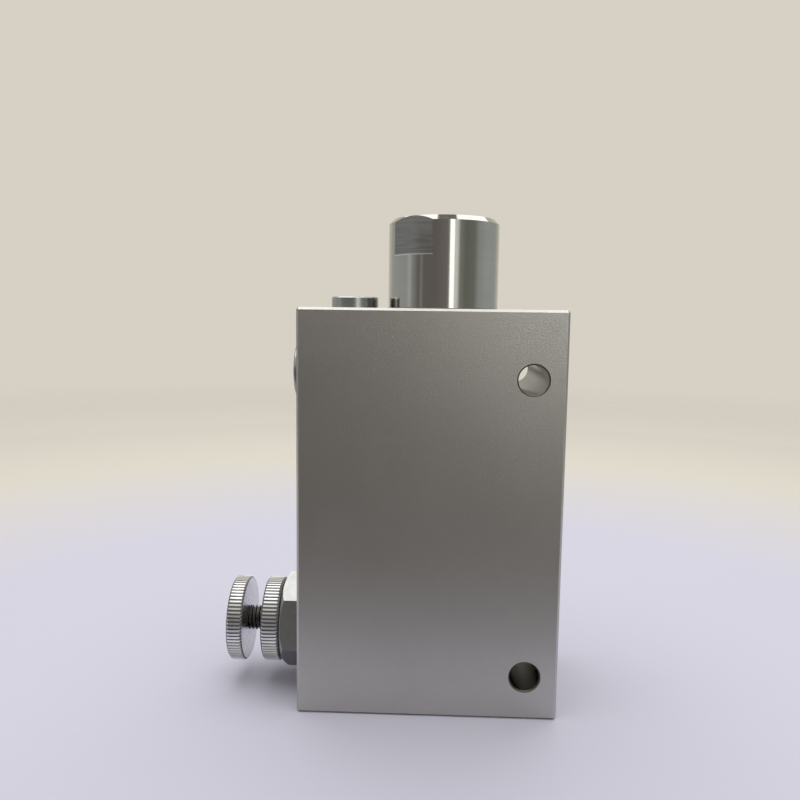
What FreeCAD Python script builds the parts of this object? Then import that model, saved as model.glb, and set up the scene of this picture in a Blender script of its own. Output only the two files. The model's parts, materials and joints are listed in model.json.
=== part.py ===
# Three-way flow control valve: an aluminium block that holds a spring-loaded pressure
# compensator under a round cap, and a throttle cartridge set by a knurled knob.
# Units are millimetres. The origin is the middle of the block's foot. X runs from the
# knob's side to the side with the main ports, Y from the plain front to the back, Z up.
import FreeCAD
import Part
import math
import os

# Block
block_width = 80.0
block_depth = 50.0
block_height = 125.0
edge_chamfer = 0.7

# Radial gaps of the fits
slide_gap = 0.03
seat_gap = 0.02
thread_gap = 0.05
seal_gap = 0.01

# Small details of turned and drilled pieces
broken_edge = 0.4
thread_lead = 0.8
thread_runout = 2.0
drill_point_angle = 118.0
past_face = 1.0

# Bolt holes, through from front to back
bolt_hole_d = 9.0
bolt_hole_edge = 10.0
bolt_hole_low = 13.5
bolt_hole_spacing = 91.0

# Main ports on the right side: tapping bore, thread's outer diameter, spot face, passage
main_bore_d = 19.0
main_thread_d = 20.955
main_bore_depth = 15.0
main_spot_d = 28.0
main_passage_d = 13.0
inlet_height = 40.0
bypass_below_top = 47.0

# Regulated port on the back
out_bore_d = 15.25
out_thread_d = 16.662
out_bore_depth = 12.0
out_spot_d = 23.0
out_passage_d = 10.0
spot_depth = 0.8

# Compensator: a hollow spool in a steel sleeve, on the cap's axis
comp_x = 3.4
spool_d = 16.0
spool_length = 20.0
spool_wall = 1.5
spool_floor = 8.0
spool_travel = 7.0
spool_travel_spare = 1.0
spool_overlap = 3.0
balance_grooves = 3
balance_groove_width = 0.8
balance_groove_depth = 0.4
sleeve_wall = 4.0
sleeve_shoulder = 1.5
sleeve_foot = 14.0
window_d = 6.0
window_count = 6
bypass_groove_width = 15.0
bypass_groove_depth = 2.5
upper_seal_above_groove = 3.0
lower_seal_below_groove = 5.0
chamber_d = 18.0
chamber_below_knob = 11.0

# Cap over the compensator spring
cap_d = 35.0
cap_height = 28.0
cap_chamfer = 1.5
cap_foot_chamfer = 0.3
cap_flat_across = 32.0
cap_flat_length = 11.5
cap_flat_turn = 36.5
cap_thread_d = 27.0
cap_thread_length = 14.0
cap_roof = 16.0
cap_bore_gap = 0.5
cap_skirt_gap = 1.0
feed_hole_d = 4.0
feed_hole_count = 4
feed_below_top = 20.3

# Spring, its seat and the shim that sets the preload
wire_d = 1.8
spring_coils = 10
spring_side_gap = 0.3
spring_seat_gap = 0.2
seat_thickness = 2.5
seat_spigot = 3.0
shim_thickness = 1.0
shim_bore_d = 3.0

# Sensing channel: one drilling down, one across, each closed by a screw plug
sense_drill_d = 4.0
sense_edge = 15.0
top_plug_thread_d = 9.728
top_plug_collar_d = 15.0
top_plug_socket = 5.0
side_plug_thread_d = 13.157
side_plug_collar_d = 18.0
side_plug_socket = 6.0
plug_thread_length = 9.0
plug_tail = 2.5
plug_neck_undercut = 0.5
plug_collar_height = 3.6
plug_collar_chamfer = 0.35
plug_socket_depth = 5.0
plug_seal_width = 1.0
plug_seal_height = 1.2

# Orifice screw in the drilling across
orifice_d = 5.0
orifice_length = 5.0
orifice_bore_d = 0.8
orifice_socket = 2.5
orifice_socket_depth = 2.0
orifice_wall = 1.2
orifice_shoulder = 0.9

# Throttle cartridge on the knob's axis
knob_height = 20.0
hex_across = 27.0
hex_length = 8.0
hex_turn = 42.5
hex_chamfer_angle = 30.0
hex_face_share = 0.95
cartridge_thread_d = 22.0
cartridge_thread_length = 11.0
cartridge_spigot_d = 16.0
cartridge_spigot_length = 3.0
needle_bore_d = 12.0
needle_bore_wall = 7.5

# Metering cage
cage_d = 19.0
cage_length = 23.0
cage_chamber_d = 14.0
cage_nose_d = 17.0
cage_nose_length = 8.0
cage_nose_bore_d = 11.0
cage_window_d = 6.0
cage_window_count = 4
cage_face_wall = 1.0
seat_bore_d = 9.0
seat_land = 2.0

# Throttle needle; at rest it stands part open
opening_turns = 1.0
closing_turns = 4.0
needle_land = 8.0
needle_back_room = 0.5
needle_neck_d = 6.0
needle_rim = 0.4
needle_tip_d = 3.0
needle_cone_angle = 30.0
needle_seat_gap = 0.1

# Adjusting screw and its swivel collar in the needle
screw_d = 8.0
screw_pitch = 1.25
screw_stands_out = 0.2
swivel_collar_d = 6.4
swivel_collar_length = 1.6
swivel_neck_d = 4.0
swivel_neck_length = 1.4
swivel_gap = 0.08

# Knob and lock ring, both knurled
knob_d = 27.3
knob_thickness = 5.05
knob_to_ring = 6.15
ring_thickness = 5.6
ring_stand_off = 0.25
knurl_teeth = 72
knurl_depth = 0.45
knurl_chamfer = 0.6
ring_seal_d = 13.0
ring_seal_depth = 1.2
ring_seal_bore_gap = 0.15

# Grub screw in the knob
grub_d = 3.0
grub_length = 6.0
grub_socket = 1.5
grub_socket_depth = 2.0

# Seal grooves, and the recesses under the cap and under the hexagon
sleeve_seal_depth = 1.4
sleeve_seal_width = 2.4
small_seal_depth = 1.1
small_seal_width = 1.9
backup_width = 1.0
nose_seal_setback = 3.6
needle_seal_setback = 2.4
face_seal_depth = 1.8
face_seal_space = 2.0
face_undercut = 0.9

# Block's faces and the axes of its bores
left = -block_width / 2
right = block_width / 2
front = -block_depth / 2
back = block_depth / 2
bolt_x = right - bolt_hole_edge
bypass_height = block_height - bypass_below_top
feed_height = block_height - feed_below_top

# Compensator's stations, going up
chamber_floor = knob_height - chamber_below_knob
spool_foot = bypass_height - window_d / 2 - spool_overlap
spool_top = spool_foot + spool_length
sleeve_d = spool_d + 2 * sleeve_wall
sleeve_low = spool_foot - sleeve_foot
sleeve_top = spool_top + spool_travel + spool_travel_spare
upper_seal_height = bypass_height + bypass_groove_width / 2 + upper_seal_above_groove
lower_seal_height = bypass_height - bypass_groove_width / 2 - lower_seal_below_groove
cup_d = spool_d - 2 * spool_wall
cap_thread_foot = block_height - cap_thread_length
cap_bore_d = cup_d + 2 * cap_bore_gap
cap_top = block_height + cap_height
spring_roof = cap_top - cap_roof
spring_top = spring_roof - shim_thickness - seat_thickness
spring_foot = spool_foot + spool_floor
spring_d = cup_d - 2 * spring_side_gap

# Cartridge's stations, going in from the left
hex_face = left - hex_length
needle_bore_end = hex_face + needle_bore_wall
cage_back = left + cartridge_thread_length
spigot_end = cage_back + cartridge_spigot_length
cage_front = cage_back + cage_length
nose_back = cage_front - cage_nose_length
seat_x = nose_back + cage_face_wall
window_x = (spigot_end + nose_back) / 2
needle_back = needle_bore_end + opening_turns * screw_pitch + needle_back_room
needle_seal_x = needle_back + needle_land - needle_seal_setback
needle_rim_x = seat_x - closing_turns * screw_pitch - needle_seat_gap
nose_seal_x = nose_back + nose_seal_setback
nose_groove_width = small_seal_width + backup_width

# Knob's and ring's stations, going out to the left
ring_back = hex_face - ring_stand_off
ring_front = ring_back - ring_thickness
knob_back = ring_front - knob_to_ring
knob_front = knob_back - knob_thickness
grub_x = (knob_front + knob_back) / 2

# Sensing channel's stations, going in from the left
sense_x = left + sense_edge
orifice_start = sense_x + sense_drill_d / 2 + orifice_wall
orifice_end = orifice_start + orifice_length

origin = FreeCAD.Vector(0, 0, 0)
along_x = FreeCAD.Vector(1, 0, 0)
along_y = FreeCAD.Vector(0, 1, 0)
along_z = FreeCAD.Vector(0, 0, 1)


def lathe(points):
    """A turned solid about Z from its half section, given as (radius, height) corners."""
    corners = [FreeCAD.Vector(r, 0, h) for r, h in points]
    return Part.Face(Part.makePolygon(corners + corners[:1])).revolve(origin, along_z, 360)


def moved(shape, x=0.0, y=0.0, z=0.0):
    """The shape, carried to another place."""
    return shape.translated(FreeCAD.Vector(x, y, z))


def turned(shape, axis, angle):
    """The shape, turned about an axis through the origin."""
    copy = shape.copy()
    copy.rotate(origin, axis, angle)
    return copy


def on_cap_axis(shape):
    """Puts a shape made about Z on the compensator's axis."""
    return moved(shape, x=comp_x)


def on_knob_axis(shape):
    """Lays a shape made about Z along the knob's axis, so that its heights become X stations."""
    return moved(turned(shape, along_y, 90), z=knob_height)


def on_feed_axis(shape):
    """Lays a shape made about Z along the drilling across."""
    return moved(turned(shape, along_y, 90), z=feed_height)


def on_top(shape):
    """Puts a shape made at zero on the top face, over the drilling down."""
    return moved(shape, x=sense_x, z=block_height)


def on_left(shape):
    """Puts a shape made at zero on the left face, over the drilling across."""
    return moved(turned(shape, along_y, -90), x=left, z=feed_height)


def rod(radius, low, high):
    """A plain cylinder about Z between two heights."""
    return Part.makeCylinder(radius, high - low, FreeCAD.Vector(0, 0, low))


def washer(inner, outer, low, high):
    """A plain ring about Z."""
    return lathe([(inner, low), (outer, low), (outer, high), (inner, high)])


def hexagon(across_flats, low, high, turn=0.0):
    """A six-sided bar about Z, its first corner turned from X by the given degrees."""
    radius = across_flats / math.sqrt(3)
    angles = [math.radians(turn + 60 * k) for k in range(7)]
    corners = [FreeCAD.Vector(radius * math.cos(a), radius * math.sin(a), low) for a in angles]
    return Part.Face(Part.makePolygon(corners)).extrude(FreeCAD.Vector(0, 0, high - low))


def spokes(drill_d, reach, height, count):
    """Radial drills about Z, at one height, evenly spaced."""
    drill = Part.makeCylinder(drill_d / 2, reach, FreeCAD.Vector(0, 0, height), along_x)
    return [turned(drill, along_z, 360.0 * k / count) for k in range(count)]


def groove(middle, wall_r, depth, width):
    """A cutter for a square groove turned into a shaft."""
    return washer(wall_r - depth, wall_r + past_face, middle - width / 2, middle + width / 2)


def round_seal(floor_r, wall_r, height):
    """A round-section seal that fills the radial space between two walls."""
    section = (wall_r - floor_r) / 2 - seal_gap
    return Part.makeTorus((floor_r + wall_r) / 2, section, FreeCAD.Vector(0, 0, height))


def face_seal(undercut_r, height):
    """A round-section seal that fills a recess's depth, in the middle of its width."""
    section = face_seal_depth / 2 - seal_gap
    return Part.makeTorus(undercut_r + face_seal_space / 2, section, FreeCAD.Vector(0, 0, height))


def point_depth(radius):
    """How far a drill's point stands past its full diameter."""
    return radius / math.tan(math.radians(drill_point_angle / 2))


def compensator_cavity():
    """Everything bored from the top on the compensator's axis."""
    recess_r = cap_thread_d / 2 - face_undercut + face_seal_space
    thread_r = cap_thread_d / 2 + thread_gap
    thread_end = cap_thread_foot - thread_runout
    sleeve_r = sleeve_d / 2 + seat_gap
    groove_r = sleeve_d / 2 + bypass_groove_depth
    groove_top = bypass_height + bypass_groove_width / 2
    groove_low = bypass_height - bypass_groove_width / 2
    chamber_r = chamber_d / 2
    return on_cap_axis(lathe([
        (0, block_height + past_face), (recess_r, block_height + past_face),
        (recess_r, block_height - face_seal_depth), (thread_r, block_height - face_seal_depth),
        (thread_r, thread_end), (sleeve_r, thread_end), (sleeve_r, groove_top),
        (groove_r, groove_top), (groove_r, groove_low), (sleeve_r, groove_low),
        (sleeve_r, sleeve_low), (chamber_r, sleeve_low),
        (chamber_r, chamber_floor + point_depth(chamber_r)), (0, chamber_floor)]))


def cartridge_cavity():
    """Everything bored from the left side on the knob's axis."""
    recess_r = cartridge_thread_d / 2 - face_undercut + face_seal_space
    thread_r = cartridge_thread_d / 2 + thread_gap
    nose_r = cage_nose_d / 2 + seat_gap
    return on_knob_axis(lathe([
        (0, left - past_face), (recess_r, left - past_face), (recess_r, left + face_seal_depth),
        (thread_r, left + face_seal_depth), (thread_r, nose_back), (nose_r, nose_back),
        (nose_r, comp_x), (0, comp_x)]))


def plug_recess_r(thread_d):
    """The radius of the seal recess round a screw plug's hole."""
    return thread_d / 2 + plug_seal_width


def plug_hole(thread_d):
    """The hole for a screw plug, going down from zero, with its seal recess."""
    hole_r = thread_d / 2 + thread_gap
    floor = -plug_thread_length - plug_tail
    recess_r = plug_recess_r(thread_d)
    return lathe([(0, past_face), (recess_r, past_face), (recess_r, -plug_seal_height),
                  (hole_r, -plug_seal_height), (hole_r, floor), (0, floor)])


def sensing_channel():
    """The drilling down to the groove round the cage, and the one across to the spring."""
    down_end = knob_height + (cage_d + cartridge_thread_d) / 4
    down = moved(rod(sense_drill_d / 2, down_end, block_height - plug_thread_length), x=sense_x)
    start = left + plug_thread_length
    wide = on_feed_axis(rod(orifice_d / 2 + thread_gap, start, orifice_end))
    narrow = on_feed_axis(rod(orifice_d / 2 - orifice_shoulder, start, comp_x))
    return [on_top(plug_hole(top_plug_thread_d)), down, on_left(plug_hole(side_plug_thread_d)), wide, narrow]


def port_hole(bore_d, thread_d, depth, spot_d, passage_d, reach):
    """A port going down from zero: spot face, lead-in to the thread, tapping bore, passage."""
    bore_r = bore_d / 2
    lead_r = thread_d / 2
    lead_end = -spot_depth - (lead_r - bore_r)
    passage_r = passage_d / 2
    cone_end = -depth - point_depth(bore_r) + point_depth(passage_r)
    return lathe([(0, past_face), (spot_d / 2, past_face), (spot_d / 2, -spot_depth),
                  (lead_r, -spot_depth), (bore_r, lead_end), (bore_r, -depth),
                  (passage_r, cone_end), (passage_r, -reach), (0, -reach)])


def main_port(height):
    """A main port and its passage from the right side to the compensator's bore."""
    reach = right - comp_x
    hole = port_hole(main_bore_d, main_thread_d, main_bore_depth, main_spot_d, main_passage_d, reach)
    return moved(turned(hole, along_y, 90), x=right, z=height)


def out_port():
    """The regulated port, from the back into the bore round the metering cage."""
    hole = port_hole(out_bore_d, out_thread_d, out_bore_depth, out_spot_d, out_passage_d, back)
    return moved(turned(hole, along_x, -90), x=window_x, y=back, z=knob_height)


def bolt_hole(height):
    """A through hole from front to back with a broken edge at both mouths."""
    hole_r = bolt_hole_d / 2
    mouth_r = hole_r + broken_edge
    hole = lathe([(0, front - past_face), (mouth_r, front - past_face), (mouth_r, front),
                  (hole_r, front + broken_edge), (hole_r, back - broken_edge), (mouth_r, back),
                  (mouth_r, back + past_face), (0, back + past_face)])
    return moved(turned(hole, along_x, -90), x=bolt_x, z=height)


def valve_block():
    """The block with its cavities, ports, channels and bolt holes."""
    block = Part.makeBox(block_width, block_depth, block_height, FreeCAD.Vector(left, front, 0))
    block = block.makeChamfer(edge_chamfer, block.Edges)
    cuts = [compensator_cavity(), cartridge_cavity(), main_port(inlet_height), main_port(bypass_height),
            out_port(), bolt_hole(bolt_hole_low), bolt_hole(bolt_hole_low + bolt_hole_spacing)]
    return block.cut(cuts + sensing_channel())


def cap_flats():
    """Cutters for the pair of wrench flats at the cap's head."""
    low = cap_top - cap_flat_length
    slab = Part.makeBox(cap_d, cap_d, cap_height, FreeCAD.Vector(cap_flat_across / 2, -cap_d / 2, low))
    return [turned(slab, along_z, side - 90 - cap_flat_turn) for side in (0, 180)]


def compensator_cap():
    """The round cap: head, thread, and a drilled skirt that holds the sleeve down."""
    head_r = cap_d / 2
    thread_r = cap_thread_d / 2
    undercut_r = thread_r - face_undercut
    bore_r = cap_bore_d / 2
    skirt_r = sleeve_d / 2 - cap_skirt_gap
    neck = block_height - face_seal_depth - broken_edge
    cap = lathe([
        (0, spring_roof + point_depth(bore_r)), (bore_r, spring_roof), (bore_r, sleeve_top),
        (skirt_r, sleeve_top), (skirt_r, cap_thread_foot), (thread_r - thread_lead, cap_thread_foot),
        (thread_r, cap_thread_foot + thread_lead), (thread_r, neck), (undercut_r, neck),
        (undercut_r, block_height), (head_r - cap_foot_chamfer, block_height),
        (head_r, block_height + cap_foot_chamfer), (head_r, cap_top - cap_chamfer),
        (head_r - cap_chamfer, cap_top), (0, cap_top)])
    feed_holes = spokes(feed_hole_d, head_r, feed_height, feed_hole_count)
    return on_cap_axis(cap.cut(cap_flats() + feed_holes))


def cap_seal():
    """The seal in the recess under the cap."""
    return on_cap_axis(face_seal(cap_thread_d / 2 - face_undercut, block_height - face_seal_depth / 2))


def compensator_sleeve():
    """The steel sleeve: a ring of bypass windows, the spool's bore and its stop shoulder."""
    outer_r = sleeve_d / 2
    bore_r = spool_d / 2 + slide_gap
    throat_r = spool_d / 2 - sleeve_shoulder
    sleeve = lathe([(throat_r, sleeve_low), (outer_r - broken_edge, sleeve_low),
                    (outer_r, sleeve_low + broken_edge), (outer_r, sleeve_top), (bore_r, sleeve_top),
                    (bore_r, spool_foot), (throat_r, spool_foot)])
    cuts = [groove(h, outer_r, sleeve_seal_depth, sleeve_seal_width)
            for h in (upper_seal_height, lower_seal_height)]
    return on_cap_axis(sleeve.cut(cuts + spokes(window_d, sleeve_d, bypass_height, window_count)))


def sleeve_seals():
    """The two round seals above and below the bypass groove."""
    floor_r = sleeve_d / 2 - sleeve_seal_depth
    wall_r = sleeve_d / 2 + seat_gap
    rings = [round_seal(floor_r, wall_r, h) for h in (upper_seal_height, lower_seal_height)]
    return on_cap_axis(Part.makeCompound(rings))


def compensator_spool():
    """The hollow spool, with balance grooves round its land."""
    outer_r = spool_d / 2
    spool = lathe([(0, spool_foot), (outer_r - broken_edge, spool_foot),
                   (outer_r, spool_foot + broken_edge), (outer_r, spool_top - broken_edge),
                   (outer_r - broken_edge, spool_top), (cup_d / 2, spool_top),
                   (cup_d / 2, spring_foot), (0, spring_foot)])
    land_low = bypass_height + window_d / 2
    step = (spool_top - land_low) / (balance_grooves + 1)
    cuts = [groove(land_low + step * (k + 1), outer_r, balance_groove_depth, balance_groove_width)
            for k in range(balance_grooves)]
    return on_cap_axis(spool.cut(cuts))


def compensator_spring():
    """The coil spring from the spool's floor to the seat, its ends ground flat."""
    length = spring_top - spring_foot
    radius = (spring_d - wire_d) / 2
    path = Part.Wire(Part.makeHelix(length / spring_coils, length, radius).Edges)
    section = Part.Wire(Part.makeCircle(wire_d / 2, FreeCAD.Vector(radius, 0, 0), along_y))
    coil = moved(path.makePipeShell([section], True, True), z=spring_foot)
    return on_cap_axis(coil.common(rod(spring_d, spring_foot, spring_top)))


def spring_seat():
    """The seat that centres the top of the spring."""
    outer_r = cap_bore_d / 2 - spring_seat_gap
    spigot_r = spring_d / 2 - wire_d - spring_seat_gap
    spigot_foot = spring_top - seat_spigot
    seat_top = spring_top + seat_thickness
    return on_cap_axis(lathe([
        (0, spigot_foot), (spigot_r - broken_edge, spigot_foot), (spigot_r, spigot_foot + broken_edge),
        (spigot_r, spring_top), (outer_r, spring_top), (outer_r, seat_top), (0, seat_top)]))


def preload_shim():
    """The shim between the seat and the cap's roof."""
    outer_r = cap_bore_d / 2 - spring_seat_gap
    return on_cap_axis(washer(shim_bore_d / 2, outer_r, spring_top + seat_thickness, spring_roof))


def screw_plug(thread_d, collar_d, socket):
    """A socket plug with a round collar, standing on zero, thread down."""
    thread_r = thread_d / 2
    neck_r = thread_r - plug_neck_undercut
    collar_r = collar_d / 2
    foot = -plug_thread_length
    neck = -plug_seal_height - broken_edge
    plug = lathe([
        (0, foot), (thread_r - thread_lead, foot), (thread_r, foot + thread_lead), (thread_r, neck),
        (neck_r, neck), (neck_r, 0), (collar_r, 0), (collar_r, plug_collar_height - plug_collar_chamfer),
        (collar_r - plug_collar_chamfer, plug_collar_height), (0, plug_collar_height)])
    floor = plug_collar_height - plug_socket_depth
    corner_r = socket / math.sqrt(3)
    mouth_low = FreeCAD.Vector(0, 0, plug_collar_height - broken_edge)
    mouth = Part.makeCone(corner_r, corner_r + broken_edge, broken_edge, mouth_low)
    tip_depth = point_depth(socket / 2)
    tip = Part.makeCone(0, socket / 2, tip_depth, FreeCAD.Vector(0, 0, floor - tip_depth))
    return plug.cut([hexagon(socket, floor, plug_collar_height + past_face), mouth, tip])


def plug_seal(thread_d):
    """The seal in the recess under a plug's collar."""
    inner_r = thread_d / 2 - plug_neck_undercut + seal_gap
    return washer(inner_r, plug_recess_r(thread_d) - seal_gap, -plug_seal_height, 0)


def top_plug():
    """The plug over the drilling down."""
    return on_top(screw_plug(top_plug_thread_d, top_plug_collar_d, top_plug_socket))


def top_plug_seal():
    """The seal under the top plug."""
    return on_top(plug_seal(top_plug_thread_d))


def side_plug():
    """The plug over the drilling across."""
    return on_left(screw_plug(side_plug_thread_d, side_plug_collar_d, side_plug_socket))


def side_plug_seal():
    """The seal under the side plug."""
    return on_left(plug_seal(side_plug_thread_d))


def damping_orifice():
    """The orifice screw in the drilling across."""
    outer_r = orifice_d / 2
    bore_r = orifice_bore_d / 2
    screw = lathe([(bore_r, orifice_start), (outer_r - broken_edge, orifice_start),
                   (outer_r, orifice_start + broken_edge), (outer_r, orifice_end), (bore_r, orifice_end)])
    socket = hexagon(orifice_socket, orifice_start - past_face, orifice_start + orifice_socket_depth)
    return on_feed_axis(screw.cut(socket))


def hex_head():
    """The cartridge's hexagon with both ends turned to a cone."""
    face_r = hex_across / 2 * hex_face_share
    past_r = hex_across / math.sqrt(3) + past_face
    rise = (past_r - face_r) * math.tan(math.radians(hex_chamfer_angle))
    form = lathe([(0, hex_face), (face_r, hex_face), (past_r, hex_face + rise), (past_r, left - rise),
                  (face_r, left), (0, left)])
    return hexagon(hex_across, hex_face, left, -90 - hex_turn).common(form)


def cartridge_body():
    """The cartridge's hexagon, thread and the bore in which the needle slides."""
    thread_r = cartridge_thread_d / 2
    undercut_r = thread_r - face_undercut
    spigot_r = cartridge_spigot_d / 2
    screw_r = screw_d / 2
    neck = left + face_seal_depth + broken_edge
    shank = lathe([
        (0, left), (undercut_r, left), (undercut_r, neck), (thread_r, neck),
        (thread_r, cage_back - thread_lead), (thread_r - thread_lead, cage_back), (spigot_r, cage_back),
        (spigot_r, spigot_end), (0, spigot_end)])
    needle_bore = rod(needle_bore_d / 2 + slide_gap, needle_bore_end, spigot_end)
    screw_hole = rod(screw_r + thread_gap, hex_face, spigot_end)
    mouth = Part.makeCone(screw_r + thread_lead, screw_r, thread_lead, FreeCAD.Vector(0, 0, hex_face))
    return on_knob_axis(hex_head().fuse(shank).cut([needle_bore, screw_hole, mouth]))


def cartridge_head_seal():
    """The seal in the recess under the hexagon."""
    return on_knob_axis(face_seal(cartridge_thread_d / 2 - face_undercut, left + face_seal_depth / 2))


def metering_cage():
    """The cage: windows to the regulated port, the seat and the sealed nose."""
    outer_r = cage_d / 2
    nose_r = cage_nose_d / 2
    nose_bore_r = cage_nose_bore_d / 2
    socket_r = cartridge_spigot_d / 2 + seat_gap
    chamber_r = cage_chamber_d / 2
    seat_r = seat_bore_d / 2
    cage = lathe([
        (socket_r, cage_back), (outer_r, cage_back), (outer_r, nose_back), (nose_r, nose_back),
        (nose_r, cage_front - broken_edge), (nose_r - broken_edge, cage_front),
        (nose_bore_r, cage_front), (nose_bore_r, seat_x + seat_land), (seat_r, seat_x + seat_land),
        (seat_r, seat_x), (chamber_r, seat_x), (chamber_r, spigot_end), (socket_r, spigot_end)])
    nose_groove = groove(nose_seal_x, nose_r, small_seal_depth, nose_groove_width)
    windows = spokes(cage_window_d, cage_d, window_x, cage_window_count)
    return on_knob_axis(cage.cut([nose_groove] + windows))


def cage_nose_seal():
    """The seal on the pressure side of the nose's groove."""
    floor_r = cage_nose_d / 2 - small_seal_depth
    wall_r = cage_nose_d / 2 + seat_gap
    middle = nose_seal_x + nose_groove_width / 2 - small_seal_width / 2
    return on_knob_axis(round_seal(floor_r, wall_r, middle))


def cage_backup_ring():
    """The ring that backs the nose's seal, at the far end of its groove."""
    floor_r = cage_nose_d / 2 - small_seal_depth + seal_gap
    wall_r = cage_nose_d / 2 + seat_gap - seal_gap
    start = nose_seal_x - nose_groove_width / 2
    return on_knob_axis(washer(floor_r, wall_r, start, start + backup_width))


def swivel_slot():
    """Cutters for the slot that takes the adjusting screw's neck and collar from below."""
    collar_start = needle_back + swivel_neck_length
    collar_end = collar_start + swivel_collar_length
    cuts = []
    for diameter, low, high in ((swivel_neck_d, needle_back, collar_start),
                                (swivel_collar_d, collar_start - swivel_gap, collar_end + swivel_gap)):
        slot_r = diameter / 2 + swivel_gap
        cuts.append(rod(slot_r, low, high))
        cuts.append(Part.makeBox(needle_bore_d, 2 * slot_r, high - low, FreeCAD.Vector(0, -slot_r, low)))
    return cuts


def throttle_needle():
    """The needle: sealed land with the swivel slot, neck and metering cone."""
    land_r = needle_bore_d / 2
    land_end = needle_back + needle_land
    neck_r = needle_neck_d / 2
    seat_r = seat_bore_d / 2
    rim_r = seat_r + needle_rim
    tip_r = needle_tip_d / 2
    slope = math.tan(math.radians(needle_cone_angle))
    rim_x = needle_rim_x - needle_rim / slope
    tip_x = needle_rim_x + (seat_r - tip_r) / slope
    flare_x = rim_x - (rim_r - neck_r) / 2
    needle = lathe([
        (0, needle_back), (land_r - broken_edge, needle_back), (land_r, needle_back + broken_edge),
        (land_r, land_end - broken_edge), (land_r - broken_edge, land_end), (neck_r, land_end),
        (neck_r, flare_x), (rim_r, rim_x), (tip_r, tip_x), (0, tip_x)])
    seal_groove = groove(needle_seal_x, land_r, small_seal_depth, small_seal_width)
    return on_knob_axis(needle.cut([seal_groove] + swivel_slot()))


def needle_seal():
    """The seal round the needle's land."""
    floor_r = needle_bore_d / 2 - small_seal_depth
    wall_r = needle_bore_d / 2 + slide_gap
    return on_knob_axis(round_seal(floor_r, wall_r, needle_seal_x))


def adjusting_screw():
    """The adjusting screw: knob end, thread, neck and swivel collar."""
    screw_r = screw_d / 2
    neck_r = swivel_neck_d / 2
    collar_r = swivel_collar_d / 2
    outer_end = knob_front - screw_stands_out
    shank_end = needle_back - broken_edge
    collar_start = needle_back + swivel_neck_length
    collar_end = collar_start + swivel_collar_length
    return on_knob_axis(lathe([
        (0, outer_end), (screw_r - broken_edge, outer_end), (screw_r, outer_end + broken_edge),
        (screw_r, shank_end - thread_lead), (screw_r - thread_lead, shank_end), (neck_r, shank_end),
        (neck_r, collar_start), (collar_r, collar_start), (collar_r, collar_end), (0, collar_end)]))


def knurled_disc(low, high):
    """A disc with straight knurling round its rim and both corners turned off."""
    crest_r = knob_d / 2
    root_r = crest_r - knurl_depth
    corners = []
    for k in range(knurl_teeth):
        for share, radius in ((0.0, root_r), (0.5, crest_r)):
            a = 2 * math.pi * (k + share) / knurl_teeth
            corners.append(FreeCAD.Vector(radius * math.cos(a), radius * math.sin(a), low))
    rim = Part.Face(Part.makePolygon(corners + corners[:1])).extrude(FreeCAD.Vector(0, 0, high - low))
    face_r = crest_r - knurl_chamfer
    form = lathe([(0, low), (face_r, low), (crest_r + past_face, low + knurl_chamfer + past_face),
                  (crest_r + past_face, high - knurl_chamfer - past_face), (face_r, high), (0, high)])
    return rim.common(form)


def adjusting_knob():
    """The knurled knob, bored for the screw and tapped from behind for its grub screw."""
    screw_r = screw_d / 2
    bore = rod(screw_r + seat_gap, knob_front, knob_back)
    mouth = Part.makeCone(screw_r + broken_edge, screw_r, broken_edge, FreeCAD.Vector(0, 0, knob_front))
    tap = Part.makeCylinder(grub_d / 2 + seat_gap, knob_d, FreeCAD.Vector(0, 0, grub_x), along_y)
    return on_knob_axis(knurled_disc(knob_front, knob_back).cut([bore, mouth, tap]))


def knob_grub_screw():
    """The grub screw that fixes the knob on the adjusting screw."""
    grub_r = grub_d / 2
    start = screw_d / 2 + seal_gap
    end = start + grub_length
    grub = lathe([(0, start), (grub_r - broken_edge, start), (grub_r, start + broken_edge),
                  (grub_r, end), (0, end)])
    grub = grub.cut(hexagon(grub_socket, end - grub_socket_depth, end + past_face))
    return moved(turned(grub, along_x, -90), x=grub_x, z=knob_height)


def lock_ring():
    """The knurled lock ring, recessed behind for its seal."""
    screw_r = screw_d / 2
    bore = rod(screw_r + thread_gap, ring_front, ring_back)
    recess = rod(ring_seal_d / 2 + seat_gap, ring_back - ring_seal_depth, ring_back)
    mouth = Part.makeCone(screw_r + thread_lead, screw_r, thread_lead, FreeCAD.Vector(0, 0, ring_front))
    return on_knob_axis(knurled_disc(ring_front, ring_back).cut([bore, recess, mouth]))


def lock_ring_seal():
    """The flat seal in the lock ring that bears on the hexagon's face."""
    inner_r = screw_d / 2 + ring_seal_bore_gap
    return on_knob_axis(washer(inner_r, ring_seal_d / 2, ring_back - ring_seal_depth + seal_gap, hex_face))


pieces = (
    valve_block, compensator_cap, cap_seal, compensator_sleeve, sleeve_seals, compensator_spool,
    compensator_spring, spring_seat, preload_shim, damping_orifice, top_plug, top_plug_seal,
    side_plug, side_plug_seal, cartridge_body, cartridge_head_seal, metering_cage, cage_nose_seal,
    cage_backup_ring, throttle_needle, needle_seal, adjusting_screw, adjusting_knob,
    knob_grub_screw, lock_ring, lock_ring_seal,
)


def main():
    os.makedirs("parts", exist_ok=True)
    for make in pieces:
        shape = make()
        solids = shape.Solids
        print(make.__name__, "solids", len(solids), "valid", shape.isValid(), "volume", round(shape.Volume, 2))
        if len(solids) == 1:
            shape = solids[0]
        shape.exportStep(os.path.join("parts", make.__name__ + ".step"))


if __name__ == "__main__":
    main()
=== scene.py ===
import bmesh
import bpy
import json
import math
from mathutils import Matrix, Vector


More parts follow.
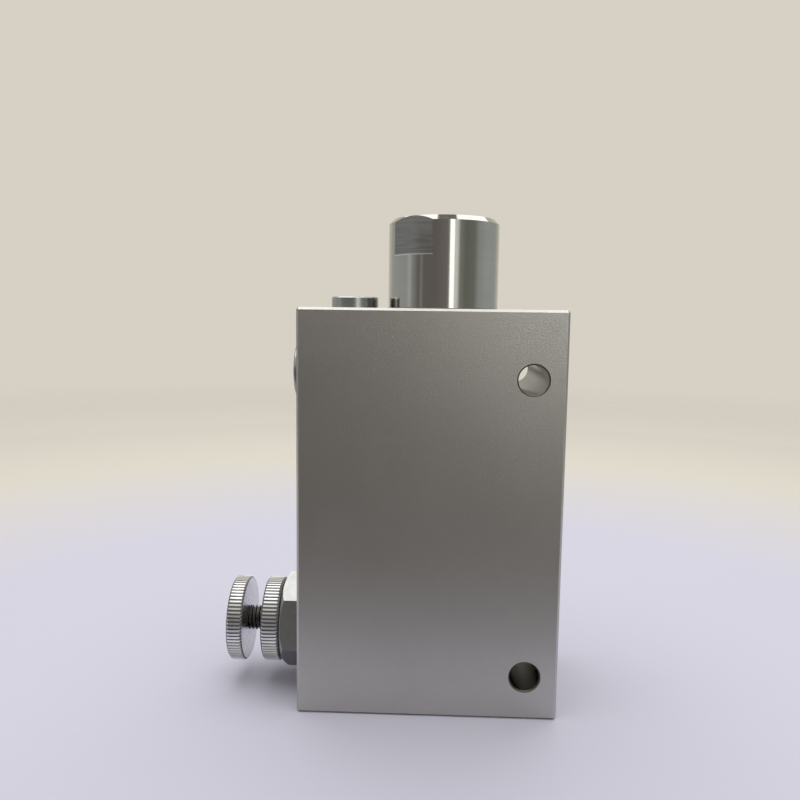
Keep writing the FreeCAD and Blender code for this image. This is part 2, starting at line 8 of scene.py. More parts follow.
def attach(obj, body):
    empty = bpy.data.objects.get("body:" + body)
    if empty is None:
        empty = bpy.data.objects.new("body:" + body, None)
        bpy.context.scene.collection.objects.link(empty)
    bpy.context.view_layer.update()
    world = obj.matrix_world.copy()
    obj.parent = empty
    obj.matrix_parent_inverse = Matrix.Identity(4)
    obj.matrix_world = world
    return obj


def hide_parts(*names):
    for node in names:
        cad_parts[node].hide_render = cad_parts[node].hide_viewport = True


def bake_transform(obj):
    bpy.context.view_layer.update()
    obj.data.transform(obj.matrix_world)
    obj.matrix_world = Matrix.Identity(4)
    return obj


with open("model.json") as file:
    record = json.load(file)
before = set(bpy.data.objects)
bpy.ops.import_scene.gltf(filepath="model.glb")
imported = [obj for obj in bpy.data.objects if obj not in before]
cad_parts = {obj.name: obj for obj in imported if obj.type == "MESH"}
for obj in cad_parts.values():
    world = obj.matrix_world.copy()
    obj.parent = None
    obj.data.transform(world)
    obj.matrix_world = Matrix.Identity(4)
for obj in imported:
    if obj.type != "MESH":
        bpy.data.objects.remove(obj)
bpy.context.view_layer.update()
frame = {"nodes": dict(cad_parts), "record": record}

mm = 0.001
scene = bpy.context.scene
nodes = frame["nodes"]
capAxisX = 3.4           # mm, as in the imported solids
knobAxisZ = 20.0
topPlugX = -25.0
sidePlugZ = 104.7
inletZ = 40.0
bypassZ = 78.0
regulatedX = -20.0
boltX = 30.0
lowBoltZ = 13.5
highBoltZ = 104.5


# Camera, fitted to the block's edges in the photograph

cameraValues = {
    "place": (-1.2, -248.6, 123.2),   # mm
    "yaw": -2.03,
    "down": 6.40,
    "roll": 0.765,
    "focalPixels": 763.5,
    "imagePixels": 800,
    "sensor": 36.0,                   # mm
    "near": 0.01,                     # metres
    "far": 20.0,
}


def makeCamera(values):
    yaw = math.radians(values["yaw"])
    down = math.radians(values["down"])
    roll = math.radians(values["roll"])
    look = Vector((math.sin(yaw) * math.cos(down), math.cos(yaw) * math.cos(down), -math.sin(down)))
    level = Vector((math.cos(yaw), -math.sin(yaw), 0.0))
    upright = level.cross(look)
    right = level * math.cos(roll) + upright * math.sin(roll)
    up = upright * math.cos(roll) - level * math.sin(roll)
    data = bpy.data.cameras.new("camera")
    data.sensor_width = values["sensor"]
    data.lens = data.sensor_width * values["focalPixels"] / values["imagePixels"]
    data.clip_start = values["near"]
    data.clip_end = values["far"]
    camera = bpy.data.objects.new("camera", data)
    scene.collection.objects.link(camera)
    place = Vector(values["place"]) * mm
    camera.matrix_world = Matrix((
        (right.x, up.x, -look.x, place.x),
        (right.y, up.y, -look.y, place.y),
        (right.z, up.z, -look.z, place.z),
        (0.0, 0.0, 0.0, 1.0)))
    scene.camera = camera


makeCamera(cameraValues)
print("stage: camera")


# Nodes for every tree

def add(tree, kind, inputs=None, **settings):
    node = tree.nodes.new(kind)
    for name, value in settings.items():
        setattr(node, name, value)
    for name, value in (inputs or {}).items():
        if isinstance(value, bpy.types.NodeSocket):
            tree.links.new(value, node.inputs[name])
        else:
            node.inputs[name].default_value = value
    return node


def math2(tree, operation, first, second=0.0, third=0.0, clamp=False):
    values = {0: first, 1: second, 2: third}
    return add(tree, "ShaderNodeMath", values, operation=operation, use_clamp=clamp).outputs[0]


def mapRange(tree, value, fromLow, fromHigh, toLow, toHigh):
    values = {"Value": value, "From Min": fromLow, "From Max": fromHigh, "To Min": toLow, "To Max": toHigh}
    return add(tree, "ShaderNodeMapRange", values).outputs[0]


def weigh(tree, first, share, second):
    return math2(tree, "MULTIPLY_ADD", first, share, math2(tree, "MULTIPLY", second, 1.0 - share))


def moveTowards(tree, share, value, wanted):
    return math2(tree, "MULTIPLY_ADD", share, math2(tree, "SUBTRACT", wanted, value), value)


def mixColours(tree, share, first, second):
    node = add(tree, "ShaderNodeMix", {0: share, 6: first, 7: second}, data_type="RGBA")
    return node.outputs[2]


def newGroup(name, numbersIn, numbersOut):
    tree = bpy.data.node_groups.new(name, "ShaderNodeTree")
    tree.interface.new_socket("Place", in_out="INPUT", socket_type="NodeSocketVector")
    for label, value in numbersIn.items():
        socket = tree.interface.new_socket(label, in_out="INPUT", socket_type="NodeSocketFloat")
        socket.default_value = value
    for label in numbersOut:
        tree.interface.new_socket(label, in_out="OUTPUT", socket_type="NodeSocketFloat")
    return tree, tree.nodes.new("NodeGroupInput"), tree.nodes.new("NodeGroupOutput")


def noise(tree, place, scale, detail=2.0, roughness=0.5, distortion=0.0):
    values = {
        "Vector": place, "Scale": scale, "Detail": detail, "Roughness": roughness, "Distortion": distortion}
    return add(tree, "ShaderNodeTexNoise", values).outputs[0]


# Effects that several finishes share

def makeBlastedGrain():
    tree, given, out = newGroup("blastedGrain", {"Grains per mm": 3.0}, ("Tone", "Height", "Fleck"))
    place = given.outputs["Place"]
    scale = given.outputs["Grains per mm"]
    fine = noise(tree, place, scale, detail=2.0, roughness=0.6)
    coarse = noise(tree, place, math2(tree, "MULTIPLY", scale, 0.3), detail=1.0)
    tone = weigh(tree, coarse, 0.4, fine)
    cells = add(tree, "ShaderNodeTexVoronoi", {"Vector": place, "Scale": scale})
    chance = add(tree, "ShaderNodeSeparateColor", {0: cells.outputs["Color"]}).outputs[0]
    fleck = mapRange(tree, chance, 0.86, 1.0, 0.0, 1.0)
    tree.links.new(tone, out.inputs["Tone"])
    tree.links.new(fine, out.inputs["Height"])
    tree.links.new(fleck, out.inputs["Fleck"])
    return tree


def makeTurnedLines():
    tree, given, out = newGroup("turnedLines", {"Lines per mm": 6.0, "Waver": 0.15}, ("Tone", "Height"))
    place = given.outputs["Place"]
    parts = add(tree, "ShaderNodeSeparateXYZ", {0: place})
    square = math2(tree, "MULTIPLY", parts.outputs[0], parts.outputs[0])
    reach = math2(tree, "SQRT", math2(tree, "MULTIPLY_ADD", parts.outputs[1], parts.outputs[1], square))
    waver = math2(tree, "MULTIPLY", noise(tree, place, 0.12, detail=0.0), given.outputs["Waver"])
    across = math2(tree, "ADD", reach, waver)
    along = math2(tree, "ADD", parts.outputs[2], waver)
    flat = add(tree, "ShaderNodeCombineXYZ", {0: across, 1: along}).outputs[0]
    fine = noise(tree, flat, given.outputs["Lines per mm"], detail=1.0, roughness=0.7)
    broad = noise(tree, flat, math2(tree, "MULTIPLY", given.outputs["Lines per mm"], 0.17), detail=1.0)
    tone = weigh(tree, broad, 0.5, fine)
    tree.links.new(tone, out.inputs["Tone"])
    tree.links.new(fine, out.inputs["Height"])
    return tree


def makeWornEdges():
    tree, given, out = newGroup("wornEdges", {"Width mm": 0.25, "Patchiness": 0.5}, ("Mask",))
    radius = math2(tree, "MULTIPLY", given.outputs["Width mm"], mm)
    rounded = add(tree, "ShaderNodeBevel", {"Radius": radius}, samples=4).outputs[0]
    true = add(tree, "ShaderNodeNewGeometry").outputs["Normal"]
    same = add(tree, "ShaderNodeVectorMath", {0: rounded, 1: true}, operation="DOT_PRODUCT").outputs["Value"]
    bent = mapRange(tree, same, 0.995, 0.86, 0.0, 1.0)
    patches = noise(tree, given.outputs["Place"], 0.7, detail=3.0, roughness=0.65)
    worn = mapRange(tree, patches, 0.35, 0.6, 0.0, 1.0)
    kept = math2(tree, "SUBTRACT", 1.0, given.outputs["Patchiness"])
    share = math2(tree, "MULTIPLY_ADD", worn, given.outputs["Patchiness"], kept)
    tree.links.new(math2(tree, "MULTIPLY", bent, share, clamp=True), out.inputs["Mask"])
    return tree


def makeSoftStains():
    tree, given, out = newGroup("softStains", {"Size mm": 18.0}, ("Stain",))
    scale = math2(tree, "DIVIDE", 1.0, given.outputs["Size mm"])
    cloud = noise(tree, given.outputs["Place"], scale, detail=4.0, roughness=0.55, distortion=0.4)
    tree.links.new(mapRange(tree, cloud, 0.3, 0.7, 0.0, 1.0), out.inputs["Stain"])
    return tree


blastedGrain = makeBlastedGrain()
turnedLines = makeTurnedLines()
wornEdges = makeWornEdges()
softStains = makeSoftStains()


def useGroup(tree, group, values):
    return add(tree, "ShaderNodeGroup", values, node_tree=group)


# Finishes. Places are in millimetres, turned so that a turned piece's axis is the pattern's Z.

turnToX = (0.0, -math.pi / 2, 0.0)
skin = 0.05              # mm, how far above the flats' foot their mask begins


def bareMaterial(name):
    material = bpy.data.materials.new(name)
    material.use_nodes = True
    tree = material.node_tree
    tree.nodes.clear()
    return material, tree, tree.nodes.new("ShaderNodeOutputMaterial")


def newFinish(name, values):
    material, tree, out = bareMaterial(name)
    shader = tree.nodes.new("ShaderNodeBsdfPrincipled")
    shader.inputs["Metallic"].default_value = values.get("metallic", 1.0)
    tree.links.new(shader.outputs[0], out.inputs["Surface"])
    objectPlace = add(tree, "ShaderNodeTexCoord").outputs["Object"]
    centre = [c * mm for c in values.get("centre", (0.0, 0.0, 0.0))]
    moved = add(tree, "ShaderNodeVectorMath", {0: objectPlace, 1: centre}, operation="SUBTRACT")
    place = add(tree, "ShaderNodeMapping", {
        "Vector": moved.outputs[0], "Rotation": values.get("turn", (0.0, 0.0, 0.0)),
        "Scale": (1 / mm, 1 / mm, 1 / mm)})
    return material, tree, shader, place.outputs[0]


def colour(values, name):
    return (*[linear(c) for c in values[name]], 1.0)


def linear(level):
    share = level / 255
    return share / 12.92 if share <= 0.04045 else ((share + 0.055) / 1.055) ** 2.4


def finishSurface(tree, shader, base, rough, height, depth):
    tree.links.new(base, shader.inputs["Base Color"])
    tree.links.new(rough, shader.inputs["Roughness"])
    bump = add(tree, "ShaderNodeBump", {"Height": height, "Distance": depth * mm, "Strength": 1.0})
    tree.links.new(bump.outputs[0], shader.inputs["Normal"])


blockFinish = {
    "light": (189, 187, 184),
    "dark": (180, 178, 174),
    "bare": (226, 225, 220),
    # the bolt holes: their walls keep a bored tone darkened by painted shade, and their chamfers a dark ring
    # of painted shade
    "paintedBoreShade": (153, 151, 143),
    "rim": (92, 91, 86),
    "grainsPerMm": 2.6,
    "roughLow": 0.28,
    "roughHigh": 0.37,
    "grainDepth": 0.07,     # mm
    "fleckShare": 0.06,
    "stainSize": 26.0,
    "stainShare": 0.35,
    "edgeWidth": 0.25,
    "edgePatches": 0.35,
    "edgeWear": 0.85,
    "boltHoles": ((boltX, lowBoltZ), (boltX, highBoltZ)),
    "boltReach": 4.92,      # mm from the hole's axis, out to the chamfer's edge
    "rimReach": 4.53,
    "rimRough": 0.55,
    "boredRough": 0.24,
    "machined": (208, 208, 204),
    "machinedRough": 0.2,
    "machinedZones": (      # each port's spot face and bore, as (reach from its axis, past this depth), mm
        {"across": (1, 2), "along": 0, "at": (0.0, inletZ), "cuts": ((14.03, 38.9), (10.6, 10.0))},
        {"across": (1, 2), "along": 0, "at": (0.0, bypassZ), "cuts": ((14.03, 38.9), (10.6, 14.0))},
        {"across": (0, 2), "along": 1, "at": (regulatedX, knobAxisZ), "cuts": ((11.53, 23.9), (8.4, 8.0))}),
}


def reachFrom(tree, place, axes, at):
    parts = add(tree, "ShaderNodeSeparateXYZ", {0: place})
    first, second = [math2(tree, "SUBTRACT", parts.outputs[axis], where) for axis, where in zip(axes, at)]
    square = math2(tree, "MULTIPLY", first, first)
    return math2(tree, "SQRT", math2(tree, "MULTIPLY_ADD", second, second, square))


def allOf(tree, *masks):
    share = masks[0]
    for mask in masks[1:]:
        share = math2(tree, "MULTIPLY", share, mask)
    return share


def makeBlockFinish(values):
    material, tree, shader, place = newFinish("block_blasted_aluminium", values)
    grain = useGroup(tree, blastedGrain, {"Place": place, "Grains per mm": values["grainsPerMm"]})
    stain = useGroup(tree, softStains, {"Place": place, "Size mm": values["stainSize"]}).outputs[0]
    edge = useGroup(tree, wornEdges, {
        "Place": place, "Width mm": values["edgeWidth"], "Patchiness": values["edgePatches"]}).outputs[0]
    shade = weigh(tree, stain, values["stainShare"], grain.outputs["Tone"])
    body = mixColours(tree, shade, colour(values, "dark"), colour(values, "light"))
    fleck = math2(tree, "MULTIPLY", grain.outputs["Fleck"], values["fleckShare"])
    flecked = mixColours(tree, fleck, body, colour(values, "bare"))
    paintedBoreShade = 0.0
    rim = 0.0
    for hole in values["boltHoles"]:
        reach = reachFrom(tree, place, (0, 2), hole)
        near = math2(tree, "LESS_THAN", reach, values["boltReach"])
        paintedBoreShade = math2(tree, "MAXIMUM", paintedBoreShade, near)
        chamfered = allOf(tree, near, math2(tree, "GREATER_THAN", reach, values["rimReach"]))
        rim = math2(tree, "MAXIMUM", rim, chamfered)
    machined = 0.0
    parts = add(tree, "ShaderNodeSeparateXYZ", {0: place})
    for zone in values["machinedZones"]:
        reach = reachFrom(tree, place, zone["across"], zone["at"])
        for widest, deepest in zone["cuts"]:
            near = math2(tree, "LESS_THAN", reach, widest)
            past = math2(tree, "GREATER_THAN", parts.outputs[zone["along"]], deepest)
            machined = math2(tree, "MAXIMUM", machined, allOf(tree, near, past))
    wearHere = moveTowards(tree, paintedBoreShade, values["edgeWear"], 0.0)
    worn = math2(tree, "MULTIPLY", edge, wearHere)
    # painted shade in the bolt holes and on their chamfers
    walled = mixColours(tree, paintedBoreShade, flecked, colour(values, "paintedBoreShade"))
    walled = mixColours(tree, rim, walled, colour(values, "rim"))
    walled = mixColours(tree, machined, walled, colour(values, "machined"))
    base = mixColours(tree, worn, walled, colour(values, "bare"))
    blasted = mapRange(tree, shade, 0.25, 0.75, values["roughHigh"], values["roughLow"])
    rough = moveTowards(tree, math2(tree, "MAXIMUM", paintedBoreShade, worn), blasted, values["boredRough"])
    rough = moveTowards(tree, machined, rough, values["machinedRough"])
    rough = moveTowards(tree, rim, rough, values["rimRough"])
    cut = math2(tree, "MAXIMUM", paintedBoreShade, machined)
    height = math2(tree, "MULTIPLY", grain.outputs["Height"], math2(tree, "SUBTRACT", 1.0, cut))
    finishSurface(tree, shader, base, rough, height, values["grainDepth"])
    return material


def flatMask(tree, place, values):     # the milled flats: far out along their normal, high on the cap; and a thin band just below them for a painted highlight
    turn = math.radians(values["turn"])
    across = add(tree, "ShaderNodeVectorMath", {0: place, 1: (-math.sin(turn), -math.cos(turn), 0.0)},
                 operation="DOT_PRODUCT").outputs["Value"]
    height = add(tree, "ShaderNodeSeparateXYZ", {0: place}).outputs[2]
    least = values["across"] / 2 - values["inside"]
    out = math2(tree, "GREATER_THAN", math2(tree, "ABSOLUTE", across), least)
    above = math2(tree, "GREATER_THAN", height, values["low"] + skin)
    below = math2(tree, "LESS_THAN", height, values["low"] + skin)
    paintedHighlightBand = math2(tree, "GREATER_THAN", height, values["low"] - values["paintedHighlightBand"])
    return allOf(tree, out, above), allOf(tree, out, below, paintedHighlightBand)


def makeTurnedFinish(name, values):
    material, tree, shader, place = newFinish(name, values)
    lines = useGroup(tree, turnedLines, {"Place": place, "Lines per mm": values["linesPerMm"]})
    stain = useGroup(tree, softStains, {"Place": place, "Size mm": values["stainSize"]}).outputs[0]
    edge = useGroup(tree, wornEdges, {"Place": place, "Width mm": values["edgeWidth"]}).outputs[0]
    shade = weigh(tree, stain, 0.4, lines.outputs["Tone"])
    body = mixColours(tree, shade, colour(values, "dark"), colour(values, "light"))
    worn = math2(tree, "MULTIPLY", edge, 0.7)
    base = mixColours(tree, worn, body, colour(values, "edge"))
    rough = mapRange(tree, shade, 0.2, 0.8, values["roughHigh"], values["roughLow"])
    height = lines.outputs["Height"]

    if "flats" in values:
        flats = values["flats"]
        milled, paintedHighlightBand = flatMask(tree, place, flats)
        stretched = add(tree, "ShaderNodeMapping", {"Vector": place, "Scale": flats["stretch"]}).outputs[0]
        cuts = noise(tree, stretched, flats["cutsPerMm"], detail=2.0, roughness=0.6)
        cutTone = mapRange(tree, cuts, 0.3, 0.7, 0.0, 1.0)
        milledTone = mixColours(tree, cutTone, colour(flats, "dark"), colour(flats, "light"))
        base = mixColours(tree, milled, base, milledTone)
        # painted highlight: a bright line at the foot of each flat
        base = mixColours(tree, paintedHighlightBand, base, colour(values, "edge"))
        rough = moveTowards(tree, math2(tree, "MAXIMUM", milled, paintedHighlightBand), rough, flats["rough"])
        deeper = math2(tree, "MULTIPLY", cuts, flats["cutDepth"])
        height = add(tree, "ShaderNodeMix", {0: milled, 2: height, 3: deeper}).outputs[0]

    if "grooves" in values:     # painted shade: darker and duller towards the foot of the knurl's teeth
        grooves = values["grooves"]
        reach = reachFrom(tree, place, (0, 1), (0.0, 0.0))
        towardsRoot = mapRange(tree, reach, grooves["noShadeAt"], grooves["fullShadeAt"], 0.0, 1.0)
        onTeeth = math2(tree, "GREATER_THAN", reach, grooves["inside"])
        paintedShadeAtRoots = allOf(tree, towardsRoot, onTeeth)
        share = math2(tree, "MULTIPLY", paintedShadeAtRoots, grooves["share"])
        base = mixColours(tree, share, base, colour(grooves, "paintedShadeAtRoots"))
        rough = math2(tree, "MULTIPLY_ADD", paintedShadeAtRoots, grooves["duller"], rough)

    if "cone" in values:     # the turned cone on the hexagon is duller than its drawn sides, and painted paler: painted light that lifts its dark reflection
        cone = values["cone"]
        level = add(tree, "ShaderNodeSeparateXYZ", {0: place}).outputs[2]
        slope = 1.0 / math.tan(math.radians(cone["angle"]))
        fromFace = math2(tree, "SUBTRACT", level, cone["face"])
        coneReach = math2(tree, "MULTIPLY_ADD", fromFace, slope, cone["faceReach"] - cone["inside"])
        onCone = math2(tree, "GREATER_THAN", reachFrom(tree, place, (0, 1), (0.0, 0.0)), coneReach)
        base = mixColours(tree, onCone, base, colour(cone, "tone"))
        rough = math2(tree, "MULTIPLY_ADD", onCone, cone["duller"], rough)

    finishSurface(tree, shader, base, rough, height, values["lineDepth"])
    return material


platedSteel = {
    "light": (184, 187, 186), "dark": (150, 153, 153), "edge": (225, 226, 222), "linesPerMm": 5.0,
    "lineDepth": 0.006, "roughLow": 0.2, "roughHigh": 0.34, "stainSize": 6.0, "edgeWidth": 0.15}
groundSteel = {
    "light": (200, 202, 204), "dark": (168, 170, 172), "edge": (232, 233, 233), "linesPerMm": 9.0,
    "lineDepth": 0.002, "roughLow": 0.12, "roughHigh": 0.22, "stainSize": 8.0, "edgeWidth": 0.12}

turnedFinishes = {       # widths and depths in mm
    "cap_turned_steel": {
        "light": (192, 191, 186), "dark": (174, 172, 166), "edge": (226, 226, 220),
        "centre": (capAxisX, 0, 0), "linesPerMm": 5.0, "lineDepth": 0.003,
        "roughLow": 0.07, "roughHigh": 0.12, "stainSize": 14.0, "edgeWidth": 0.15,
        "flats": {"turn": 36.5, "across": 32.0, "low": 141.5, "paintedHighlightBand": 0.3, "inside": 0.06, "cutsPerMm": 1.5,
                  "cutDepth": 3.0, "stretch": (0.06, 0.06, 1.0), "light": (154, 154, 153),
                  "dark": (132, 132, 132), "rough": 0.36}},
    "top_plug_plated_steel": {**platedSteel, "centre": (topPlugX, 0, 0)},
    "side_plug_plated_steel": {**platedSteel, "centre": (0, 0, sidePlugZ), "turn": turnToX},
    "cartridge_plated_steel": {
        "light": (178, 180, 180), "dark": (150, 152, 152), "edge": (222, 222, 220),
        "centre": (0, 0, knobAxisZ), "turn": turnToX, "linesPerMm": 3.0, "lineDepth": 0.004,
        "roughLow": 0.18, "roughHigh": 0.3, "stainSize": 9.0, "edgeWidth": 0.25,
        # the cone's paler tone is painted light
        "cone": {"face": -48.0, "faceReach": 12.825, "inside": 0.04, "angle": 30.0, "tone": (206, 207, 208),
                 "duller": 0.26}},
    "knurled_steel_bright": {
        "light": (230, 231, 232), "dark": (204, 205, 207), "edge": (246, 246, 245),
        "centre": (0, 0, knobAxisZ), "turn": turnToX, "linesPerMm": 4.0, "lineDepth": 0.006,
        "roughLow": 0.24, "roughHigh": 0.36, "stainSize": 7.0, "edgeWidth": 0.12,
        # painted shade at the foot of the knurl's teeth, darkest at their root
        "grooves": {"noShadeAt": 13.7, "fullShadeAt": 13.36, "inside": 13.18, "share": 0.8, "duller": 0.2,
                    "paintedShadeAtRoots": (78, 78, 80)}},
    "blackened_screw_steel": {
        "light": (92, 91, 90), "dark": (58, 57, 56), "edge": (168, 166, 160),
        "centre": (0, 0, knobAxisZ), "turn": turnToX, "linesPerMm": 6.0, "lineDepth": 0.004,
        "roughLow": 0.24, "roughHigh": 0.42, "stainSize": 5.0, "edgeWidth": 0.1},
    "ground_inner_steel": {**groundSteel, "centre": (capAxisX, 0, 0)},
    "ground_cage_steel": {**groundSteel, "centre": (0, 0, knobAxisZ), "turn": turnToX},
    "orifice_brass": {
        "light": (214, 182, 108), "dark": (176, 142, 78), "edge": (240, 216, 150),
        "centre": (0, 0, sidePlugZ), "turn": turnToX, "linesPerMm": 6.0, "lineDepth": 0.004,
        "roughLow": 0.2, "roughHigh": 0.34, "stainSize": 4.0, "edgeWidth": 0.12},
}

grainedFinishes = {
    "spring_wire_steel": {
        "metallic": 1.0, "light": (148, 150, 156), "dark": (104, 106, 114), "grainsPerMm": 5.0,
        "grainDepth": 0.01, "roughLow": 0.26, "roughHigh": 0.42, "stainSize": 5.0},
    "nitrile_rubber": {
        "metallic": 0.0, "light": (44, 44, 46), "dark": (26, 26, 27), "grainsPerMm": 7.0,
        "grainDepth": 0.012, "roughLow": 0.42, "roughHigh": 0.62, "stainSize": 3.0},
    "backup_ring_plastic": {
        "metallic": 0.0, "light": (236, 232, 220), "dark": (216, 210, 194), "grainsPerMm": 4.0,
        "grainDepth": 0.008, "roughLow": 0.34, "roughHigh": 0.5, "stainSize": 3.0},
}


def makeGrainedFinish(name, values):
    material, tree, shader, place = newFinish(name, values)
    grain = useGroup(tree, blastedGrain, {"Place": place, "Grains per mm": values["grainsPerMm"]})
    stain = useGroup(tree, softStains, {"Place": place, "Size mm": values["stainSize"]}).outputs[0]
    shade = weigh(tree, stain, 0.5, grain.outputs["Tone"])
    base = mixColours(tree, shade, colour(values, "dark"), colour(values, "light"))
    rough = mapRange(tree, shade, 0.2, 0.8, values["roughHigh"], values["roughLow"])
    finishSurface(tree, shader, base, rough, grain.outputs["Height"], values["grainDepth"])
    return material


finishes = {"block_blasted_aluminium": makeBlockFinish(blockFinish)}
for finishName, finishValues in turnedFinishes.items():
    finishes[finishName] = makeTurnedFinish(finishName, finishValues)
for finishName, finishValues in grainedFinishes.items():
    finishes[finishName] = makeGrainedFinish(finishName, finishValues)
print("stage: finishes")

finishOfNode = {
    "valve_block": "block_blasted_aluminium",
    "compensator_cap": "cap_turned_steel",
    "cap_seal": "nitrile_rubber",
    "compensator_sleeve": "ground_inner_steel",
    "sleeve_seals": "nitrile_rubber",
    "compensator_spool": "ground_inner_steel",
    "compensator_spring": "spring_wire_steel",
    "spring_seat": "ground_inner_steel",
    "preload_shim": "ground_inner_steel",
    "damping_orifice": "orifice_brass",
    "top_plug": "top_plug_plated_steel",
    "top_plug_seal": "nitrile_rubber",
    "side_plug": "side_plug_plated_steel",
    "side_plug_seal": "nitrile_rubber",
    "cartridge_body": "cartridge_plated_steel",
    "cartridge_head_seal": "nitrile_rubber",
    "metering_cage": "ground_cage_steel",
    "cage_nose_seal": "nitrile_rubber",
    "cage_backup_ring": "backup_ring_plastic",
    "throttle_needle": "ground_cage_steel",
    "needle_seal": "nitrile_rubber",
    "adjusting_screw": "blackened_screw_steel",
    "adjusting_knob": "knurled_steel_bright",
    "knob_grub_screw": "blackened_screw_steel",
    "lock_ring": "knurled_steel_bright",
    "lock_ring_seal": "nitrile_rubber",
}

for nodeName, finishName in finishOfNode.items():
    piece = nodes[nodeName]
    for pieceSlot in piece.material_slots:
        pieceSlot.material = finishes[finishName]
print("stage: finishes on the solids")


# Threads, cut by a groove that is swept along a helix, and knurls

sameSpot = 1e-7          # metres, below which two points are one
shortEdge = 2e-6
alongX = (0.0, math.pi / 2, 0.0)
alongY = (-math.pi / 2, 0.0, 0.0)
upZ = (0.0, 0.0, 0.0)


def newShapeTree(name, numbers, vectors, **others):
    tree = bpy.data.node_groups.new(name, "GeometryNodeTree")
    kinds = {"Geometry": "Geometry", **dict.fromkeys(numbers, "Float"), **dict.fromkeys(vectors, "Vector"),
             **others, "Finish": "Material"}
    for label, kind in kinds.items():
        tree.interface.new_socket(label, in_out="INPUT", socket_type="NodeSocket" + kind)
    tree.interface.new_socket("Geometry", in_out="OUTPUT", socket_type="NodeSocketGeometry")
    return tree, tree.nodes.new("NodeGroupInput").outputs


def unitStrip(tree, across, along):     # a grid of 1 by 1, and the shares of it that a point has gone
    strip = add(tree, "GeometryNodeMeshGrid", {
        "Size X": 1.0, "Size Y": 1.0, "Vertices X": across, "Vertices Y": along}).outputs["Mesh"]
    spot = add(tree, "ShaderNodeSeparateXYZ", {0: add(tree, "GeometryNodeInputPosition").outputs[0]})
    return strip, math2(tree, "ADD", spot.outputs[0], 0.5), math2(tree, "ADD", spot.outputs[1], 0.5)


def sweepStrip(tree, strip, given, radius, angle, level):
    swept = add(tree, "ShaderNodeCombineXYZ", {
        0: math2(tree, "MULTIPLY", radius, math2(tree, "COSINE", angle)),
        1: math2(tree, "MULTIPLY", radius, math2(tree, "SINE", angle)), 2: level})
    bent = add(tree, "GeometryNodeSetPosition", {"Geometry": strip, "Position": swept.outputs[0]})
    closed = add(tree, "GeometryNodeMergeByDistance", {"Geometry": bent.outputs[0], "Distance": sameSpot})
    return add(tree, "GeometryNodeTransform", {
        "Geometry": closed.outputs[0], "Translation": given["Place"], "Rotation": given["Turn"]}).outputs[0]


def cutAway(tree, solid, tool):
    return add(tree, "GeometryNodeMeshBoolean", {"Mesh 1": solid, "Mesh 2": tool},
               operation="DIFFERENCE", solver="EXACT").outputs[0]


def finishShape(tree, shape, given):
    real = add(tree, "GeometryNodeRealizeInstances", {0: shape})
    dressed = add(tree, "GeometryNodeSetMaterial", {"Geometry": real.outputs[0], "Material": given["Finish"]})
    tree.links.new(dressed.outputs[0], tree.nodes.new("NodeGroupOutput").inputs[0])


def makeThreadTree():
    tree, given = newShapeTree(
        "cutThread", ("Root Radius", "Mouth Radius", "Root Width", "Mouth Width", "Pitch", "Low", "Turns",
                      "Run Out"), ("Place", "Turn"), Steps="Int")
    groovePoints = 5     # root, mouth, mouth, root, and the first once more
    strip, share, girth = unitStrip(tree, math2(tree, "ADD", given["Steps"], 1.0), groovePoints)
    corner = math2(tree, "MULTIPLY", girth, groovePoints - 1.0)
    atMouth = math2(tree, "LESS_THAN", math2(tree, "ABSOLUTE", math2(tree, "SUBTRACT", corner, 1.5)), 1.0)
    above = math2(tree, "LESS_THAN", math2(tree, "ABSOLUTE", math2(tree, "SUBTRACT", corner, 2.5)), 1.0)

    turnsLeft = math2(tree, "MULTIPLY", math2(tree, "PINGPONG", share, 0.5), given["Turns"])
    grown = math2(tree, "DIVIDE", turnsLeft, given["Run Out"], clamp=True)
    depth = math2(tree, "SUBTRACT", given["Root Radius"], given["Mouth Radius"])
    sunk = math2(tree, "MULTIPLY", math2(tree, "SUBTRACT", 1.0, atMouth), grown)
    radius = math2(tree, "MULTIPLY_ADD", depth, sunk, given["Mouth Radius"])
    wider = math2(tree, "SUBTRACT", given["Mouth Width"], given["Root Width"])
    width = math2(tree, "MULTIPLY_ADD", wider, atMouth, given["Root Width"])
    side = math2(tree, "SUBTRACT", above, 0.5)
    shift = math2(tree, "MULTIPLY", math2(tree, "MULTIPLY", width, side), grown)

    turns = math2(tree, "MULTIPLY", share, given["Turns"])
    angle = math2(tree, "MULTIPLY", turns, 2 * math.pi)
    climb = math2(tree, "MULTIPLY_ADD", turns, given["Pitch"], given["Low"])
    groove = sweepStrip(tree, strip, given, radius, angle, math2(tree, "ADD", climb, shift))
    finishShape(tree, cutAway(tree, given["Geometry"], groove), given)
    return tree


cutThread = makeThreadTree()


